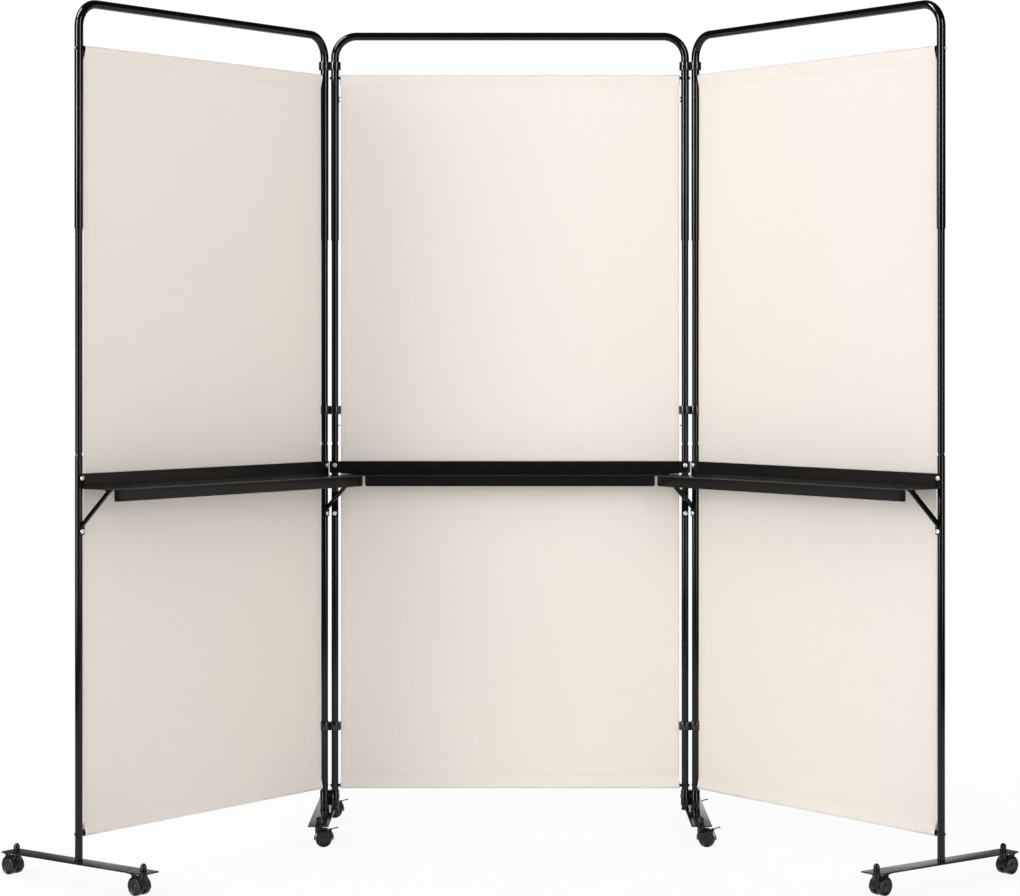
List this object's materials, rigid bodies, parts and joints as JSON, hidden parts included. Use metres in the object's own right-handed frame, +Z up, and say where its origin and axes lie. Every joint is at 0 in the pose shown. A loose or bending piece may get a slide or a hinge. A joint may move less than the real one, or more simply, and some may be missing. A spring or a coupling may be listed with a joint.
{
  "type": "ward privacy screen on wheels",
  "caption": "Folding ward screen of cream cloth panels stretched in black round-tube frames, with a narrow shelf across each panel and flat foot bars on swivel castors.",
  "frame": {"origin": "on the floor under the middle of the screen as it stands, panels folded forward as pictured", "axes": "+Z up, +X to the right along the centre panel as the viewer sees it, -Y toward the viewer"},
  "size_m": [2.1432, 0.9656, 1.8251],
  "materials": {
    "black_coat": "gloss black powder coat over steel",
    "castor_plastic": "satin dark grey nylon",
    "clip_plastic": "moulded black",
    "cream_cloth": "plain woven cream cloth, hemmed and stitched"
  },
  "bodies": {
    "centre_panel": {"hoop_centre": "black_coat", "upright_centre_right": "black_coat", "upright_centre_left": "black_coat", "cloth_centre": "cream_cloth", "rod_centre_top": "black_coat", "rod_centre_bottom": "black_coat", "shelf_centre": "black_coat", "strut_centre_right": "black_coat", "strut_centre_left": "black_coat", "clip_left_lower": "clip_plastic", "clip_left_middle": "clip_plastic", "clip_right_lower": "clip_plastic", "clip_right_middle": "clip_plastic", "foot_left_inner": "black_coat", "foot_right_inner": "black_coat"},
    "left_panel": {"hoop_left": "black_coat", "upright_left_inner": "black_coat", "upright_left_outer": "black_coat", "cloth_left": "cream_cloth", "rod_left_top": "black_coat", "rod_left_bottom": "black_coat", "shelf_left": "black_coat", "strut_left_inner": "black_coat", "strut_left_outer": "black_coat", "foot_left_outer": "black_coat"},
    "right_panel": {"hoop_right": "black_coat", "upright_right_inner": "black_coat", "upright_right_outer": "black_coat", "cloth_right": "cream_cloth", "rod_right_top": "black_coat", "rod_right_bottom": "black_coat", "shelf_right": "black_coat", "strut_right_inner": "black_coat", "strut_right_outer": "black_coat", "foot_right_outer": "black_coat"},
    "castor_left_inner_front": {"castor_left_inner_front_fork": "castor_plastic"},
    "castor_left_inner_front_wheels": {"castor_left_inner_front_wheels": "castor_plastic"},
    "castor_left_inner_front_lever": {"castor_left_inner_front_lever": "castor_plastic"},
    "castor_left_inner_back": {"castor_left_inner_back_fork": "castor_plastic"},
    "castor_left_inner_back_wheels": {"castor_left_inner_back_wheels": "castor_plastic"},
    "castor_left_inner_back_lever": {"castor_left_inner_back_lever": "castor_plastic"},
    "castor_right_inner_front": {"castor_right_inner_front_fork": "castor_plastic"},
    "castor_right_inner_front_wheels": {"castor_right_inner_front_wheels": "castor_plastic"},
    "castor_right_inner_front_lever": {"castor_right_inner_front_lever": "castor_plastic"},
    "castor_right_inner_back": {"castor_right_inner_back_fork": "castor_plastic"},
    "castor_right_inner_back_wheels": {"castor_right_inner_back_wheels": "castor_plastic"},
    "castor_right_inner_back_lever": {"castor_right_inner_back_lever": "castor_plastic"},
    "castor_left_outer_front": {"castor_left_outer_front_fork": "castor_plastic"},
    "castor_left_outer_front_wheels": {"castor_left_outer_front_wheels": "castor_plastic"},
    "castor_left_outer_front_lever": {"castor_left_outer_front_lever": "castor_plastic"},
    "castor_left_outer_back": {"castor_left_outer_back_fork": "castor_plastic"},
    "castor_left_outer_back_wheels": {"castor_left_outer_back_wheels": "castor_plastic"},
    "castor_left_outer_back_lever": {"castor_left_outer_back_lever": "castor_plastic"},
    "castor_right_outer_front": {"castor_right_outer_front_fork": "castor_plastic"},
    "castor_right_outer_front_wheels": {"castor_right_outer_front_wheels": "castor_plastic"},
    "castor_right_outer_front_lever": {"castor_right_outer_front_lever": "castor_plastic"},
    "castor_right_outer_back": {"castor_right_outer_back_fork": "castor_plastic"},
    "castor_right_outer_back_wheels": {"castor_right_outer_back_wheels": "castor_plastic"},
    "castor_right_outer_back_lever": {"castor_right_outer_back_lever": "castor_plastic"}
  },
  "joints": [
    {"name": "left_panel_fold", "type": "hinge", "parent": "centre_panel", "child": "left_panel", "pos_m": [-0.4237, 0.27535, 0.9], "axis": [0, 0, -1], "range_deg": [0, 143]},
    {"name": "right_panel_fold", "type": "hinge", "parent": "centre_panel", "child": "right_panel", "pos_m": [0.4237, 0.27535, 0.9], "axis": [0, 0, 1], "range_deg": [0, 143]},
    {"name": "castor_left_inner_front_swivel", "type": "hinge", "parent": "centre_panel", "child": "castor_left_inner_front", "pos_m": [-0.4237, 0.08985, 0.045], "axis": [0, 0, 1], "continuous": true},
    {"name": "castor_left_inner_front_wheel_spin", "type": "hinge", "parent": "castor_left_inner_front", "child": "castor_left_inner_front_wheels", "pos_m": [-0.4122, 0.08985, 0.018], "axis": [0, 1, 0], "continuous": true},
    {"name": "castor_left_inner_front_lever_press", "type": "hinge", "parent": "castor_left_inner_front", "child": "castor_left_inner_front_lever", "pos_m": [-0.39755, 0.08985, 0.03676], "axis": [0, 1, 0], "range_deg": [0, 25]},
    {"name": "castor_left_inner_back_swivel", "type": "hinge", "parent": "centre_panel", "child": "castor_left_inner_back", "pos_m": [-0.4237, 0.46085, 0.045], "axis": [0, 0, 1], "continuous": true},
    {"name": "castor_left_inner_back_wheel_spin", "type": "hinge", "parent": "castor_left_inner_back", "child": "castor_left_inner_back_wheels", "pos_m": [-0.4122, 0.46085, 0.018], "axis": [0, 1, 0], "continuous": true},
    {"name": "castor_left_inner_back_lever_press", "type": "hinge", "parent": "castor_left_inner_back", "child": "castor_left_inner_back_lever", "pos_m": [-0.39755, 0.46085, 0.03676], "axis": [0, 1, 0], "range_deg": [0, 25]},
    {"name": "castor_right_inner_front_swivel", "type": "hinge", "parent": "centre_panel", "child": "castor_right_inner_front", "pos_m": [0.4237, 0.08985, 0.045], "axis": [0, 0, 1], "continuous": true},
    {"name": "castor_right_inner_front_wheel_spin", "type": "hinge", "parent": "castor_right_inner_front", "child": "castor_right_inner_front_wheels", "pos_m": [0.4352, 0.08985, 0.018], "axis": [0, 1, 0], "continuous": true},
    {"name": "castor_right_inner_front_lever_press", "type": "hinge", "parent": "castor_right_inner_front", "child": "castor_right_inner_front_lever", "pos_m": [0.44985, 0.08985, 0.03676], "axis": [0, 1, 0], "range_deg": [0, 25]},
    {"name": "castor_right_inner_back_swivel", "type": "hinge", "parent": "centre_panel", "child": "castor_right_inner_back", "pos_m": [0.4237, 0.46085, 0.045], "axis": [0, 0, 1], "continuous": true},
    {"name": "castor_right_inner_back_wheel_spin", "type": "hinge", "parent": "castor_right_inner_back", "child": "castor_right_inner_back_wheels", "pos_m": [0.4352, 0.46085, 0.018], "axis": [0, 1, 0], "continuous": true},
    {"name": "castor_right_inner_back_lever_press", "type": "hinge", "parent": "castor_right_inner_back", "child": "castor_right_inner_back_lever", "pos_m": [0.44985, 0.46085, 0.03676], "axis": [0, 1, 0], "range_deg": [0, 25]},
    {"name": "castor_left_outer_front_swivel", "type": "hinge", "parent": "left_panel", "child": "castor_left_outer_front", "pos_m": [-0.73895, -0.45124, 0.045], "axis": [0, 0, 1], "continuous": true},
    {"name": "castor_left_outer_front_wheel_spin", "type": "hinge", "parent": "castor_left_outer_front", "child": "castor_left_outer_front_wheels", "pos_m": [-0.74813, -0.44432, 0.018], "axis": [-0.6018, -0.7986, 0], "continuous": true},
    {"name": "castor_left_outer_front_lever_press", "type": "hinge", "parent": "castor_left_outer_front", "child": "castor_left_outer_front_lever", "pos_m": [-0.75984, -0.4355, 0.03676], "axis": [-0.6018, -0.7986, 0], "range_deg": [0, 25]},
    {"name": "castor_left_outer_back_swivel", "type": "hinge", "parent": "left_panel", "child": "castor_left_outer_back", "pos_m": [-1.03524, -0.22797, 0.045], "axis": [0, 0, 1], "continuous": true},
    {"name": "castor_left_outer_back_wheel_spin", "type": "hinge", "parent": "castor_left_outer_back", "child": "castor_left_outer_back_wheels", "pos_m": [-1.04443, -0.22104, 0.018], "axis": [-0.6018, -0.7986, 0], "continuous": true},
    {"name": "castor_left_outer_back_lever_press", "type": "hinge", "parent": "castor_left_outer_back", "child": "castor_left_outer_back_lever", "pos_m": [-1.05613, -0.21223, 0.03676], "axis": [-0.6018, -0.7986, 0], "range_deg": [0, 25]},
    {"name": "castor_right_outer_front_swivel", "type": "hinge", "parent": "right_panel", "child": "castor_right_outer_front", "pos_m": [0.73895, -0.45124, 0.045], "axis": [0, 0, 1], "continuous": true},
    {"name": "castor_right_outer_front_wheel_spin", "type": "hinge", "parent": "castor_right_outer_front", "child": "castor_right_outer_front_wheels", "pos_m": [0.74813, -0.44432, 0.018], "axis": [-0.6018, 0.7986, 0], "continuous": true},
    {"name": "castor_right_outer_front_lever_press", "type": "hinge", "parent": "castor_right_outer_front", "child": "castor_right_outer_front_lever", "pos_m": [0.75984, -0.4355, 0.03676], "axis": [-0.6018, 0.7986, 0], "range_deg": [0, 25]},
    {"name": "castor_right_outer_back_swivel", "type": "hinge", "parent": "right_panel", "child": "castor_right_outer_back", "pos_m": [1.03524, -0.22797, 0.045], "axis": [0, 0, 1], "continuous": true},
    {"name": "castor_right_outer_back_wheel_spin", "type": "hinge", "parent": "castor_right_outer_back", "child": "castor_right_outer_back_wheels", "pos_m": [1.04443, -0.22104, 0.018], "axis": [-0.6018, 0.7986, 0], "continuous": true},
    {"name": "castor_right_outer_back_lever_press", "type": "hinge", "parent": "castor_right_outer_back", "child": "castor_right_outer_back_lever", "pos_m": [1.05613, -0.21223, 0.03676], "axis": [-0.6018, 0.7986, 0], "range_deg": [0, 25]}
  ]
}
